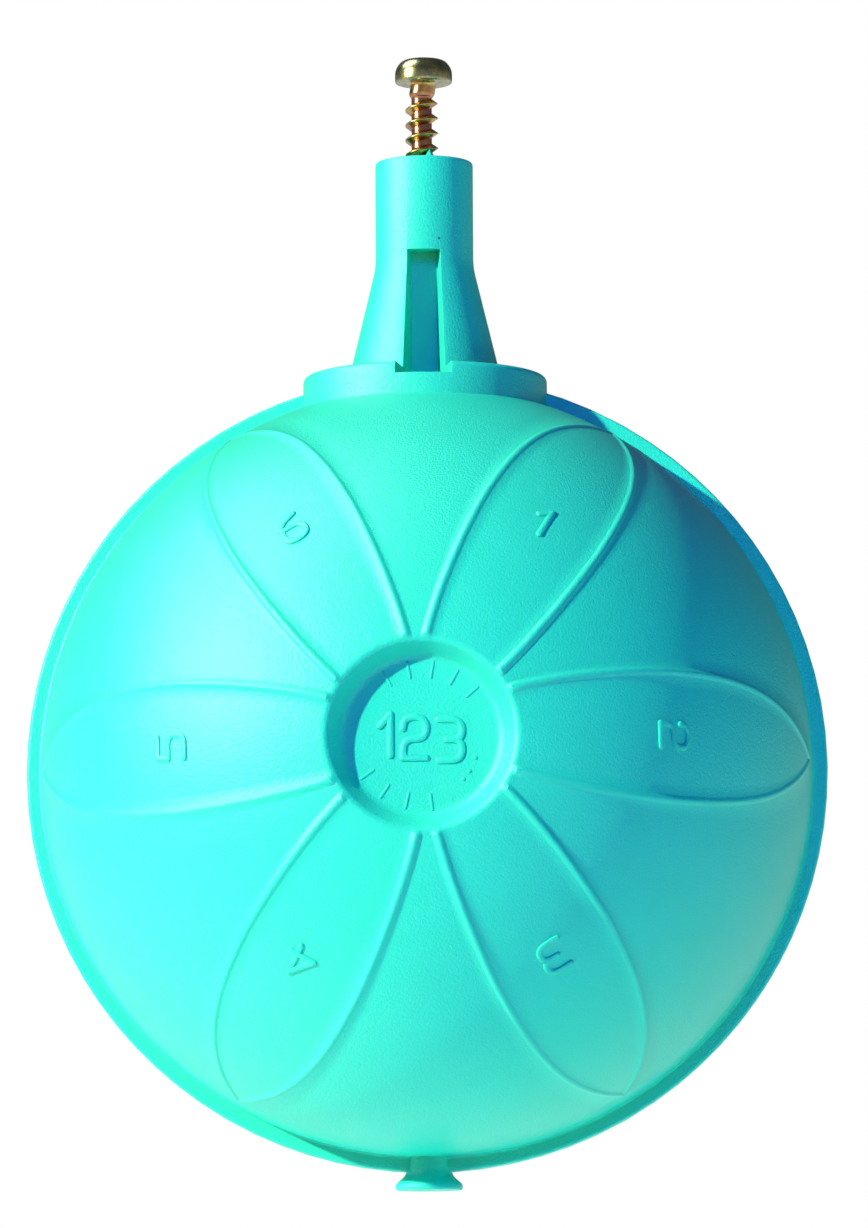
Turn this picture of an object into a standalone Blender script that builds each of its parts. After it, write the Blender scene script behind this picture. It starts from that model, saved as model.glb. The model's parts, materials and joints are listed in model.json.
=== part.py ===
"""Float ball for a cistern valve, in metres, +Z up, front towards -Y.

Two equal moulded half shells are welded along an upright seam. Each carries its half of the
weld flange, the collar, the slotted stem and the foot. A coarse screw stands in the stem's top,
where it clamps the valve's arm. The origin is the middle of the stem's top face.
"""

import math

import bmesh
import bpy
from mathutils import Matrix, Vector
from mathutils.geometry import interpolate_bezier

# Hollow ball and weld flange
BALL_DIAMETER = 0.120
WALL = 0.002
FLANGE_REACH = 0.0023
FLANGE_THICKNESS = 0.004
FLANGE_EDGE = 0.0006
SEAM_GAP = 0.0003

# Round dish at the middle of each half
DISH_DIAMETER = 0.0282
DISH_FLOOR_DIAMETER = 0.0240
DISH_DEPTH = 0.0033
DISH_CORNER = 0.0008

# Raised beads that draw the petals
PETAL_COUNT = 6
PETAL_TURN = math.radians(1.0)
PETAL_LEAN = math.radians(0.8)
PETAL_LEAN_MIDDLE = math.radians(45)
PETAL_WIDTH = 0.0194
PETAL_WIDEST = math.radians(40)
PETAL_TIP = math.radians(80)
PETAL_ROOT_GAP = 0.0027
PETAL_ROOT_SLOPE = 0.29
PETAL_TIP_SLOPE = 0.5
# How far the curve's handles reach, as shares of its run from the root and to the tip
ROOT_HANDLES = (0.35, 0.15)
TIP_HANDLES = (0.40, 0.35)
BEAD_WIDTH = 0.0014
BEAD_HEIGHT = 0.00045

# Collar and stem
COLLAR_DIAMETER = 0.0382
COLLAR_RISE = 0.002
COLLAR_EDGE = 0.0009
STEM_DIAMETER = 0.0152
STEM_HEIGHT = 0.0342
STEM_EDGE = 0.0008
FLARE_DIAMETER = 0.0232
FLARE_HEIGHT = 0.0190

# Slot cored into the stem from the front and from the back
SLOT_WIDTH = 0.0042
SLOT_DRAFT = 0.0005
SLOT_HEIGHT = 0.0193
SLOT_SILL = 0.0019
SLOT_WEB = 0.0008

# Foot under the ball
FOOT_STALK_DIAMETER = 0.0070
FOOT_DIAMETER = 0.0104
FOOT_LENGTH = 0.0050
FOOT_FLARE = 0.0015
FOOT_RIM = 0.0009
FOOT_EDGE = 0.0004

# Screw
SCREW_DIAMETER = 0.0050
SCREW_CORE_DIAMETER = 0.0034
SCREW_NECK_DIAMETER = 0.0038
SCREW_NECK = 0.0018
SCREW_LENGTH = 0.020
SCREW_TIP = 0.0016
SCREW_POINT_DIAMETER = 0.0009
SCREW_PITCH = 0.0024
SCREW_STANDOUT = 0.0129
THREAD_BASE = 0.0014
THREAD_CREST = 0.00014
THREAD_SINK = 0.0005
HEAD_DIAMETER = 0.0090
HEAD_HEIGHT = 0.0034
HEAD_RIM = 0.0007
HEAD_TOP_DIAMETER = 0.0034
HEAD_EDGE = 0.0003
CROSS_WIDTH = 0.0044
CROSS_WING = 0.0010
CROSS_DEPTH = 0.0018
CROSS_BOTTOM_WIDTH = 0.0018
CROSS_BOTTOM_WING = 0.0007
SCREW_CLEARANCE = 0.0003
HOLE_END_CLEARANCE = 0.0050

# How finely round forms are faceted
BALL_STEPS = 60
BALL_RINGS = 12
CAVITY_STEPS = 32
CAVITY_RINGS = 6
STEM_STEPS = 36
SCREW_STEPS = 16
HEAD_STEPS = 6
CORNER_STEPS = 3
BEAD_ROOT_STEPS = 4
BEAD_TIP_STEPS = 7

# Sizes that follow from those above
BALL_RADIUS = BALL_DIAMETER / 2
FLANGE_RADIUS = BALL_RADIUS + FLANGE_REACH
DISH_RADIUS = DISH_DIAMETER / 2
DISH_RIM_DEPTH = math.sqrt(BALL_RADIUS**2 - DISH_RADIUS**2)
DISH_FLOOR = DISH_RIM_DEPTH - DISH_DEPTH
COLLAR_TOP = -STEM_HEIGHT
BALL_CENTRE = COLLAR_TOP - COLLAR_RISE - BALL_RADIUS
SLOT_BOTTOM = COLLAR_TOP - SLOT_SILL
SLOT_TOP = COLLAR_TOP + SLOT_HEIGHT
FOOT_BOTTOM = BALL_CENTRE - BALL_RADIUS - FOOT_LENGTH
SCREW_TIP_END = SCREW_STANDOUT - SCREW_LENGTH
HOLE_BOTTOM = SCREW_TIP_END - HOLE_END_CLEARANCE
# The stem and the foot start this high above and below the ball's centre, inside its wall
BLANK_START = BALL_RADIUS / 2
# Cutters run this far past the faces that they cut
OVERRUN = 0.005

TURN_ABOUT_Z = Matrix.Identity(4)
TURN_ABOUT_SEAM = Matrix.Rotation(math.radians(90), 4, "X")
BALL_PLACE = Matrix.Translation((0, 0, BALL_CENTRE))


def arc(centre, radii, start, end, steps):
    """Points of an arc, as (radius, height) pairs, from one angle in degrees to another."""
    points = []
    for i in range(steps + 1):
        angle = math.radians(start + (end - start) * i / steps)
        points.append(
            (centre[0] + radii[0] * math.cos(angle), centre[1] + radii[1] * math.sin(angle))
        )
    return points


def turned(profile, steps, turn=TURN_ABOUT_Z):
    """A closed solid: a profile of (radius, height) pairs from axis to axis, spun round it."""
    bm = bmesh.new()
    row = [bm.verts.new((radius, 0, height)) for radius, height in profile]
    edges = [bm.edges.new(pair) for pair in zip(row, row[1:])]
    bmesh.ops.spin(
        bm,
        geom=row + edges,
        cent=(0, 0, 0),
        axis=(0, 0, 1),
        angle=math.tau,
        steps=steps,
        use_merge=True,
    )
    bmesh.ops.remove_doubles(bm, verts=bm.verts, dist=1e-6)
    bmesh.ops.recalc_face_normals(bm, faces=bm.faces)
    bmesh.ops.transform(bm, matrix=turn, verts=bm.verts)
    return bm


def block(low, high):
    """A plain box between two corners."""
    bm = bmesh.new()
    bmesh.ops.create_cube(bm, size=1)
    size = [b - a for a, b in zip(low, high)]
    middle = [(a + b) / 2 for a, b in zip(low, high)]
    bmesh.ops.scale(bm, vec=size, verts=bm.verts)
    bmesh.ops.translate(bm, vec=middle, verts=bm.verts)
    return bm


def object_from(name, bm, place=TURN_ABOUT_Z):
    """An object that holds the bmesh, with its place in its mesh."""
    bmesh.ops.transform(bm, matrix=place, verts=bm.verts)
    mesh = bpy.data.meshes.new(name)
    bm.to_mesh(mesh)
    bm.free()
    obj = bpy.data.objects.new(name, mesh)
    bpy.context.scene.collection.objects.link(obj)
    return obj


def combine(obj, operation, other):
    """Joins or cuts the object with a helper, which stays hidden."""
    other.hide_render = True
    other.display_type = "WIRE"
    modifier = obj.modifiers.new(other.name, "BOOLEAN")
    modifier.operation = operation
    modifier.object = other
    modifier.solver = "EXACT"


def settled_mesh(obj):
    """The object's mesh as its modifiers leave it."""
    graph = bpy.context.evaluated_depsgraph_get()
    return bpy.data.meshes.new_from_object(obj.evaluated_get(graph))


def smooth(mesh, degrees):
    mesh.shade_smooth()
    mesh.set_sharp_from_angle(angle=math.radians(degrees))


def material(name, colour, metallic, roughness):
    made = bpy.data.materials.new(name)
    made.use_nodes = True
    shader = made.node_tree.nodes["Principled BSDF"]
    shader.inputs["Base Color"].default_value = (*colour, 1)
    shader.inputs["Metallic"].default_value = metallic
    shader.inputs["Roughness"].default_value = roughness
    made.diffuse_color = (*colour, 1)
    return made


# The half ball: a solid turned about the seam's normal, its pole towards -Y


def dish_profile():
    """From the pole over the dish's floor, round its corner and up to its rim."""
    floor_radius = DISH_FLOOR_DIAMETER / 2
    slope = math.atan2(DISH_DEPTH, DISH_RADIUS - floor_radius)
    setback = DISH_CORNER * math.tan(slope / 2)
    corner = arc(
        (floor_radius - setback, DISH_FLOOR + DISH_CORNER),
        (DISH_CORNER, DISH_CORNER),
        -90,
        -90 + math.degrees(slope),
        CORNER_STEPS,
    )
    return [(0, DISH_FLOOR), *corner]


def half_ball():
    rim_angle = math.degrees(math.atan2(DISH_RIM_DEPTH, DISH_RADIUS))
    flange_face = FLANGE_THICKNESS / 2
    root_angle = math.degrees(math.asin(flange_face / BALL_RADIUS))
    sphere = arc((0, 0), (BALL_RADIUS, BALL_RADIUS), rim_angle, root_angle, BALL_RINGS)
    flange = [
        (FLANGE_RADIUS - FLANGE_EDGE, flange_face),
        (FLANGE_RADIUS, flange_face - FLANGE_EDGE),
        (FLANGE_RADIUS, -OVERRUN),
        (0, -OVERRUN),
    ]
    return turned([*dish_profile(), *sphere, *flange], BALL_STEPS, TURN_ABOUT_SEAM)


def cavity():
    """The hollow of a half ball: one wall inside the sphere and inside the dish."""
    radius = BALL_RADIUS - WALL
    floor = DISH_FLOOR - WALL
    shoulder_radius = DISH_RADIUS + WALL
    shoulder_angle = math.degrees(math.acos(shoulder_radius / radius))
    sphere = arc((0, 0), (radius, radius), shoulder_angle, 0, CAVITY_RINGS)
    profile = [
        (0, floor),
        (DISH_FLOOR_DIAMETER / 2 + WALL / 2, floor),
        *sphere,
        (radius, -OVERRUN),
        (0, -OVERRUN),
    ]
    return turned(profile, CAVITY_STEPS, TURN_ABOUT_SEAM)


# The petals: half-round beads along curves on the ball


def petal_side():
    """One side of a petal as (angle from the pole, distance from its middle line) pairs."""
    root = DISH_RADIUS + BEAD_WIDTH / 2
    half_pitch = math.pi / PETAL_COUNT - math.asin(PETAL_ROOT_GAP / 2 / root)
    root_offset = root * math.sin(half_pitch)
    root_angle = math.asin(root * math.cos(half_pitch) / BALL_RADIUS)
    widest = PETAL_WIDTH / 2
    leaving, arriving = (share * (PETAL_WIDEST - root_angle) for share in ROOT_HANDLES)
    to_widest = interpolate_bezier(
        (root_angle, root_offset),
        (root_angle + leaving, root_offset + leaving * BALL_RADIUS * PETAL_ROOT_SLOPE),
        (PETAL_WIDEST - arriving, widest),
        (PETAL_WIDEST, widest),
        BEAD_ROOT_STEPS + 1,
    )
    leaving, arriving = (share * (PETAL_TIP - PETAL_WIDEST) for share in TIP_HANDLES)
    to_tip = interpolate_bezier(
        (PETAL_WIDEST, widest),
        (PETAL_WIDEST + leaving, widest),
        (PETAL_TIP - arriving, arriving * BALL_RADIUS * PETAL_TIP_SLOPE),
        (PETAL_TIP, 0),
        BEAD_TIP_STEPS + 1,
    )
    return [*to_widest, *to_tip[1:]]


def on_ball(angle, offset, heading, radius):
    """A point that far from the pole along a petal's middle line, then that far to its side."""
    along = Vector((math.cos(heading), 0, math.sin(heading)))
    across = Vector((-math.sin(heading), 0, math.cos(heading)))
    pole = Vector((0, -1, 0))
    turn = offset / BALL_RADIUS + (PETAL_LEAN_MIDDLE - angle) * math.tan(PETAL_LEAN)
    middle = pole * math.cos(angle) + along * math.sin(angle)
    return (middle * math.cos(turn) + across * math.sin(turn)) * radius


def petal_beads():
    """All petals' beads as closed tubes, sunk so that a low round ridge stands proud."""
    tube = ((BEAD_WIDTH / 2) ** 2 + BEAD_HEIGHT**2) / (2 * BEAD_HEIGHT)
    path_radius = BALL_RADIUS + BEAD_HEIGHT - tube
    side = petal_side()
    loop = side + [(angle, -offset) for angle, offset in reversed(side[:-1])]
    curve = bpy.data.curves.new("petal_paths", "CURVE")
    curve.dimensions = "3D"
    curve.bevel_depth = tube
    curve.bevel_resolution = 1
    curve.use_fill_caps = True
    for i in range(PETAL_COUNT):
        heading = PETAL_TURN + math.tau * i / PETAL_COUNT
        points = [on_ball(angle, offset, heading, path_radius) for angle, offset in loop]
        spline = curve.splines.new("POLY")
        spline.points.add(len(points) - 1)
        for spot, point in zip(spline.points, points):
            spot.co = (*point, 1)
    paths = bpy.data.objects.new("petal_paths", curve)
    bpy.context.scene.collection.objects.link(paths)
    bm = bmesh.new()
    bm.from_mesh(settled_mesh(paths))
    bpy.data.objects.remove(paths)
    bmesh.ops.remove_doubles(bm, verts=bm.verts, dist=1e-6)
    bmesh.ops.recalc_face_normals(bm, faces=bm.faces)
    return bm


# The stem, the collar and the foot: solids turned about Z, halved with the ball


def stem_and_collar():
    stem_radius = STEM_DIAMETER / 2
    collar_radius = COLLAR_DIAMETER / 2
    stem_edge = arc(
        (stem_radius - STEM_EDGE, -STEM_EDGE), (STEM_EDGE, STEM_EDGE), 90, 0, CORNER_STEPS
    )
    collar_edge = arc(
        (collar_radius - COLLAR_EDGE, COLLAR_TOP - COLLAR_EDGE),
        (COLLAR_EDGE, COLLAR_EDGE),
        90,
        0,
        CORNER_STEPS,
    )
    profile = [
        (0, 0),
        *stem_edge,
        (stem_radius, COLLAR_TOP + FLARE_HEIGHT),
        (FLARE_DIAMETER / 2, COLLAR_TOP),
        *collar_edge,
        (collar_radius, BALL_CENTRE + BLANK_START),
        (0, BALL_CENTRE + BLANK_START),
    ]
    return turned(profile, STEM_STEPS)


def foot():
    stalk_radius = FOOT_STALK_DIAMETER / 2
    foot_radius = FOOT_DIAMETER / 2
    rim_top = FOOT_BOTTOM + FOOT_RIM
    edge = arc(
        (foot_radius - FOOT_EDGE, FOOT_BOTTOM + FOOT_EDGE),
        (FOOT_EDGE, FOOT_EDGE),
        0,
        -90,
        CORNER_STEPS,
    )
    profile = [
        (0, BALL_CENTRE - BLANK_START),
        (stalk_radius, BALL_CENTRE - BLANK_START),
        (stalk_radius, rim_top + FOOT_FLARE),
        (foot_radius, rim_top),
        *edge,
        (0, FOOT_BOTTOM),
    ]
    return turned(profile, STEM_STEPS)


def slot_core():
    """The core that leaves the slot: widest at its mouth, and through the collar's front."""
    back = -SLOT_WEB - SEAM_GAP / 2
    mouth = -COLLAR_DIAMETER / 2 - OVERRUN
    stem_mouth = -STEM_DIAMETER / 2
    draft = SLOT_DRAFT * (mouth - back) / (stem_mouth - back)
    bm = block((-SLOT_WIDTH / 2, mouth, SLOT_BOTTOM), (SLOT_WIDTH / 2, back, SLOT_TOP))
    for vert in bm.verts:
        if vert.co.y < (mouth + back) / 2:
            vert.co.x += math.copysign(draft, vert.co.x)
    return bm


def screw_hole():
    radius = SCREW_DIAMETER / 2 + SCREW_CLEARANCE
    return turned(
        [(0, OVERRUN), (radius, OVERRUN), (radius, HOLE_BOTTOM), (0, HOLE_BOTTOM)], SCREW_STEPS
    )


def other_side():
    """All that lies past the seam's plane, where the other half begins."""
    reach = BALL_DIAMETER
    return block(
        (-reach, -SEAM_GAP / 2, BALL_CENTRE - reach), (reach, reach, SCREW_STANDOUT + reach)
    )


def half_shells():
    blank = object_from("half_shell_blank", half_ball(), BALL_PLACE)
    combine(blank, "UNION", object_from("bead_tubes", petal_beads(), BALL_PLACE))
    combine(blank, "UNION", object_from("stem_blank", stem_and_collar()))
    combine(blank, "UNION", object_from("foot_blank", foot()))
    combine(blank, "DIFFERENCE", object_from("seam_plane", other_side()))
    combine(blank, "DIFFERENCE", object_from("cavity_core", cavity(), BALL_PLACE))
    combine(blank, "DIFFERENCE", object_from("slot_core", slot_core()))
    combine(blank, "DIFFERENCE", object_from("screw_hole_core", screw_hole()))
    mesh = settled_mesh(blank)
    blank.hide_render = True
    blank.hide_viewport = True
    smooth(mesh, 28)
    mesh.materials.append(material("moulded_polyethylene", (0.02, 0.68, 0.62), 0, 0.38))
    for name, turn in (("front_half_shell", 0), ("back_half_shell", math.pi)):
        half = bpy.data.objects.new(name, mesh)
        half.rotation_euler.z = turn
        bpy.context.scene.collection.objects.link(half)


# The screw: a turned blank, a wound thread and a cross recess


def screw_blank():
    core = SCREW_CORE_DIAMETER / 2
    neck = SCREW_NECK_DIAMETER / 2
    head = HEAD_DIAMETER / 2
    top = HEAD_TOP_DIAMETER / 2
    neck_end = SCREW_STANDOUT - SCREW_NECK
    dome = arc(
        (top, SCREW_STANDOUT + HEAD_RIM), (head - top, HEAD_HEIGHT - HEAD_RIM), 90, 0, HEAD_STEPS
    )
    profile = [
        (0, SCREW_STANDOUT + HEAD_HEIGHT),
        *dome,
        (head, SCREW_STANDOUT + HEAD_EDGE),
        (head - HEAD_EDGE, SCREW_STANDOUT),
        (neck, SCREW_STANDOUT),
        (neck, neck_end),
        (core, neck_end - (neck - core)),
        (core, SCREW_TIP_END + SCREW_TIP),
        (SCREW_POINT_DIAMETER / 2, SCREW_TIP_END),
        (0, SCREW_TIP_END),
    ]
    return turned(profile, SCREW_STEPS)


def thread():
    """A right-handed ridge from the tip's cone to the neck, its root sunk in the core."""
    start = SCREW_TIP_END + SCREW_TIP
    end = SCREW_STANDOUT - SCREW_NECK
    turns = (end - start) / SCREW_PITCH
    steps = max(3, round(turns * SCREW_STEPS))
    core = SCREW_CORE_DIAMETER / 2
    crest = SCREW_DIAMETER / 2
    flank = (THREAD_BASE - THREAD_CREST) / 2 / (crest - core)
    sunk = core - THREAD_SINK
    sunk_half = THREAD_CREST / 2 + flank * (crest - sunk)
    section = [
        (sunk, -sunk_half),
        (crest, -THREAD_CREST / 2),
        (crest, THREAD_CREST / 2),
        (sunk, sunk_half),
    ]
    bm = bmesh.new()
    face = bm.faces.new([bm.verts.new((radius, 0, height)) for radius, height in section])
    bmesh.ops.spin(
        bm,
        geom=[*face.verts, *face.edges, face],
        cent=(0, 0, 0),
        axis=(0, 0, 1),
        dvec=(0, 0, (end - start) / steps),
        angle=math.tau * turns,
        steps=steps,
    )
    bmesh.ops.recalc_face_normals(bm, faces=bm.faces)
    # The last crest ends on the left, as -X is seen from the front
    place = Matrix.Translation((0, 0, start)) @ Matrix.Rotation(math.pi - math.tau * turns, 4, "Z")
    bmesh.ops.transform(bm, matrix=place, verts=bm.verts)
    return bm


def cross_wing():
    """One wing of the cross recess, narrowing towards its bottom."""
    top = SCREW_STANDOUT + HEAD_HEIGHT
    bm = block(
        (-CROSS_WIDTH / 2, -CROSS_WING / 2, top - CROSS_DEPTH),
        (CROSS_WIDTH / 2, CROSS_WING / 2, top + CROSS_DEPTH),
    )
    for vert in bm.verts:
        if vert.co.z < top:
            vert.co.x *= CROSS_BOTTOM_WIDTH / CROSS_WIDTH
            vert.co.y *= CROSS_BOTTOM_WING / CROSS_WING
    return bm


def arm_screw():
    blank = object_from("screw_blank", screw_blank())
    combine(blank, "UNION", object_from("thread_ridge", thread()))
    for turn in (45, 135):
        wing = object_from(
            f"cross_wing_{turn}", cross_wing(), Matrix.Rotation(math.radians(turn), 4, "Z")
        )
        combine(blank, "DIFFERENCE", wing)
    mesh = settled_mesh(blank)
    blank.hide_render = True
    blank.hide_viewport = True
    smooth(mesh, 30)
    mesh.materials.append(material("yellow_zinc_steel", (0.55, 0.42, 0.20), 1, 0.28))
    screw = bpy.data.objects.new("arm_screw", mesh)
    bpy.context.scene.collection.objects.link(screw)


for leftover in list(bpy.data.objects):
    bpy.data.objects.remove(leftover, do_unlink=True)
half_shells()
arm_screw()
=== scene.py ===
import json
import math

import bmesh
import bpy
import numpy as np
from mathutils import Matrix, Quaternion, Vector
from mathutils.geometry import interpolate_bezier
from mathutils.kdtree import KDTree

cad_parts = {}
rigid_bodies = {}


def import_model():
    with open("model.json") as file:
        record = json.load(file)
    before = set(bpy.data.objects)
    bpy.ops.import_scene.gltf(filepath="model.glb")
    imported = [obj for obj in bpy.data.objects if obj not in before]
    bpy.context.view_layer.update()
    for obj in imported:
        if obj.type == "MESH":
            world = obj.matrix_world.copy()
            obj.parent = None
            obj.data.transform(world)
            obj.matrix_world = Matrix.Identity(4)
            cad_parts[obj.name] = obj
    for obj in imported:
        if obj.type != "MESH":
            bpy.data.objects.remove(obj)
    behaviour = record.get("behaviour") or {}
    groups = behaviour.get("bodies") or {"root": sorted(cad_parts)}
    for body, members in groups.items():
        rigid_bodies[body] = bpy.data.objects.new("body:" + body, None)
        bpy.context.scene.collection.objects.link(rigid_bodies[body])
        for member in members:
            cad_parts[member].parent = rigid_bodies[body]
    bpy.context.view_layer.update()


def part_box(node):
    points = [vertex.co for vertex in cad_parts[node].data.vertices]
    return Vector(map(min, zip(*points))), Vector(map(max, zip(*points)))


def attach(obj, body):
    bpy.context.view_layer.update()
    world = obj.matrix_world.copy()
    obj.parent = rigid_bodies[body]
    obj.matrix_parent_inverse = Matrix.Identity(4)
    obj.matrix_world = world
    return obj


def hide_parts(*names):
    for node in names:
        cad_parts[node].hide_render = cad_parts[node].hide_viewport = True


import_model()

# Half shells: two equal hollow mouldings, welded face to face along their flanges. Six raised
# beads draw a pointed petal on each sixth of the ball round a shallow dish. Each half has its
# half of the collar, of the flared stem with a cored slot, and of the foot.

shell_low, shell_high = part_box("front_half_shell")
FLANGE_REACH = 0.0023
FLANGE_THICKNESS = 0.004
FLANGE_EDGE = 0.0006
FLANGE_FILLET = 0.0006
SEAM = 0.00008
SEAM_EDGE = 0.00015
SEAM_LAND = 0.0008
SEAM_LAND_HEIGHT = SEAM * 0.8
WALL = 0.002
FOOT_LENGTH = 0.0050
FLANGE_RADIUS = shell_high[0]
BALL_RADIUS = FLANGE_RADIUS - FLANGE_REACH
BALL_CENTRE = shell_low[2] + FOOT_LENGTH + BALL_RADIUS

DISH_RADIUS = 0.0141
DISH_FLOOR_RADIUS = 0.0118
DISH_DEPTH = 0.0033
DISH_CORNER = 0.0010
DISH_EDGE = 0.0009

PETALS = 6
PETAL_TURN = math.radians(1.0)
PETAL_LEAN = math.radians(0.8)
PETAL_MIDDLE = math.radians(45)
PETAL_HALF_WIDTH = 0.0097
PETAL_WIDEST = math.radians(40)
PETAL_TIP = math.radians(80)
PETAL_ROOT_GAP = 0.0027
PETAL_ROOT_PULL = 0.35
PETAL_ROOT_SLOPE = 0.29
PETAL_FLANK_PULLS = (0.43, 0.40)
PETAL_TIP_PULL = 0.35
PETAL_TIP_SLOPE = 0.5
PETAL_STEPS = (300, 500)
BEAD_HALF_WIDTHS = (0.00090, 0.00062)
BEAD_HEIGHTS = (0.00045, 0.00020)
BEAD_SOFTNESS = 1.5

COLLAR_RADIUS = 0.0191
COLLAR_RISE = 0.0020
COLLAR_EDGE = 0.0011
STEM_RADIUS = 0.00767
STEM_EDGE = 0.0006
FLARE_RADIUS = 0.0119
FLARE_HEIGHT = 0.0175
FLARE_BEND = 0.0015
FLARE_FILLET = 0.0003
SLOT_WIDTH = 0.0041
SLOT_DRAFT = 0.0006
SLOT_HEIGHT = 0.0193
SLOT_SILL = 0.0019
SLOT_WEB = 0.0038
SLOT_EDGE = 0.00045
COLLAR_TOP = BALL_CENTRE + BALL_RADIUS + COLLAR_RISE
HOLE_RADIUS = 0.0020
HOLE_DEPTH = 0.0121

FOOT_STALK_RADIUS = 0.0035
FOOT_RADIUS = 0.0052
FOOT_FLARE = 0.0015
FOOT_RIM = 0.0009
FOOT_EDGE = 0.0004
FOOT_BLEND = 0.6

TURN_STEPS = 144
CAVITY_STEPS = 72
HOLE_STEPS = 48
# The skin's columns inside, across and beyond a bead, and its rows before, round and past a tip
BEAD_COLUMNS = (5, 10, 7)
LEAST_COLUMN = 0.3
PETAL_ROWS = (50, 18, 6)
TIP_ZONE = (0.0030, 0.0018)
CORNER_STEPS = 6
CORNER_SHARE = 0.9
BEAD_RUN_OUT = 0.7
OVERRUN = 0.005
MERGE = 1e-6
STEM_SHARP = math.radians(38)
SHELL_SHARP = math.radians(35)

POLE_TO_FRONT = Matrix.Rotation(math.radians(90), 4, "X")
BALL_PLACE = Matrix.Translation((0, 0, BALL_CENTRE)) @ POLE_TO_FRONT


def rounded(corners, steps=CORNER_STEPS):
    """An outline from (x, y, rounding) corners: each is eased from that far before to after."""
    points = []
    for i, (x, y, size) in enumerate(corners):
        corner = Vector((x, y))
        if not size:
            points.append(corner)
            continue
        before = corner + (Vector(corners[i - 1][:2]) - corner).normalized() * size
        after = corner + (Vector(corners[i + 1][:2]) - corner).normalized() * size
        points += interpolate_bezier(
            before, before.lerp(corner, 2 / 3), after.lerp(corner, 2 / 3), after, steps + 1
        )
    return points


def turned(profile, steps=TURN_STEPS):
    """A closed solid: a profile of (radius, height) points from axis to axis, spun round Z."""
    bm = bmesh.new()
    row = [bm.verts.new((point[0], 0, point[1])) for point in profile]
    edges = [bm.edges.new(pair) for pair in zip(row, row[1:])]
    bmesh.ops.spin(
        bm,
        geom=row + edges,
        cent=(0, 0, 0),
        axis=(0, 0, 1),
        angle=math.tau,
        steps=steps,
        use_merge=True,
    )
    bmesh.ops.remove_doubles(bm, verts=bm.verts, dist=MERGE)
    bmesh.ops.recalc_face_normals(bm, faces=bm.faces)
    return bm


def piece_from(name, bm, place=None):
    """An object that holds the bmesh, with its place in its mesh."""
    if place:
        bmesh.ops.transform(bm, matrix=place, verts=bm.verts)
    mesh = bpy.data.meshes.new(name)
    bm.to_mesh(mesh)
    bm.free()
    piece = bpy.data.objects.new(name, mesh)
    bpy.context.scene.collection.objects.link(piece)
    return piece


def settle(piece):
    """The piece's modifiers, applied to its mesh."""
    graph = bpy.context.evaluated_depsgraph_get()
    piece.data = bpy.data.meshes.new_from_object(piece.evaluated_get(graph))
    piece.modifiers.clear()


def combine(piece, operation, helper):
    """Joins the helper to the piece or cuts it out, and drops the helper."""
    modifier = piece.modifiers.new("combine", "BOOLEAN")
    modifier.operation = operation
    modifier.object = helper
    modifier.solver = "EXACT"
    settle(piece)
    bpy.data.objects.remove(helper)


def ring(bm, edges, radius, height, bulge=0.0):
    """Draws a loop of edges on to a circle round Z, keeping a share of how far it stood out."""
    made = bmesh.ops.extrude_edge_only(bm, edges=edges)["geom"]
    verts = [item for item in made if isinstance(item, bmesh.types.BMVert)]
    for vert in verts:
        turn = math.atan2(vert.co.y, vert.co.x)
        proud = (vert.co.length - BALL_RADIUS) * bulge
        vert.co = (radius * math.cos(turn), radius * math.sin(turn), height + proud)
    fresh = set(verts)
    return [
        item
        for item in made
        if isinstance(item, bmesh.types.BMEdge) and fresh.issuperset(item.verts)
    ]


def petal_outline(side):
    """One side of a petal, root to tip, as (angle from the pole, heading) pairs."""
    half_pitch = math.pi / PETALS - math.asin(PETAL_ROOT_GAP / 2 / DISH_RADIUS)
    root = (
        math.asin(DISH_RADIUS * math.cos(half_pitch) / BALL_RADIUS),
        DISH_RADIUS * math.sin(half_pitch),
    )
    widest = (PETAL_WIDEST, PETAL_HALF_WIDTH)
    tip = (PETAL_TIP, 0)
    root_run = (PETAL_WIDEST - root[0]) * PETAL_ROOT_PULL
    tip_run = PETAL_TIP - PETAL_WIDEST
    line = interpolate_bezier(
        root,
        (root[0] + root_run, root[1] + root_run * BALL_RADIUS * PETAL_ROOT_SLOPE),
        (PETAL_WIDEST - root_run * PETAL_FLANK_PULLS[0], PETAL_HALF_WIDTH),
        widest,
        PETAL_STEPS[0],
    ) + interpolate_bezier(
        widest,
        (PETAL_WIDEST + tip_run * PETAL_FLANK_PULLS[1], PETAL_HALF_WIDTH),
        (
            PETAL_TIP - tip_run * PETAL_TIP_PULL,
            tip_run * PETAL_TIP_PULL * BALL_RADIUS * PETAL_TIP_SLOPE,
        ),
        tip,
        PETAL_STEPS[1],
    )
    pairs = []
    for along, offset in line:
        lean = (PETAL_MIDDLE - along) * math.tan(PETAL_LEAN)
        turn = side * offset / BALL_RADIUS + lean
        pairs.append(
            (
                math.acos(math.cos(along) * math.cos(turn)),
                math.atan2(math.sin(turn), math.sin(along) * math.cos(turn)),
            )
        )
    return pairs


def on_ball(angle, heading, radius=BALL_RADIUS):
    """A point at an angle from the pole, which is +Z here, along a heading."""
    return Vector(
        (
            radius * math.sin(angle) * math.cos(heading),
            radius * math.sin(angle) * math.sin(heading),
            radius * math.cos(angle),
        )
    )


def stretch(share, steps, knots):
    """Where a share of all the steps falls between knots that have so many steps each."""
    step = share * sum(steps)
    marks = [0, *np.cumsum(steps)]
    return float(np.interp(step, marks, knots))


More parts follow.
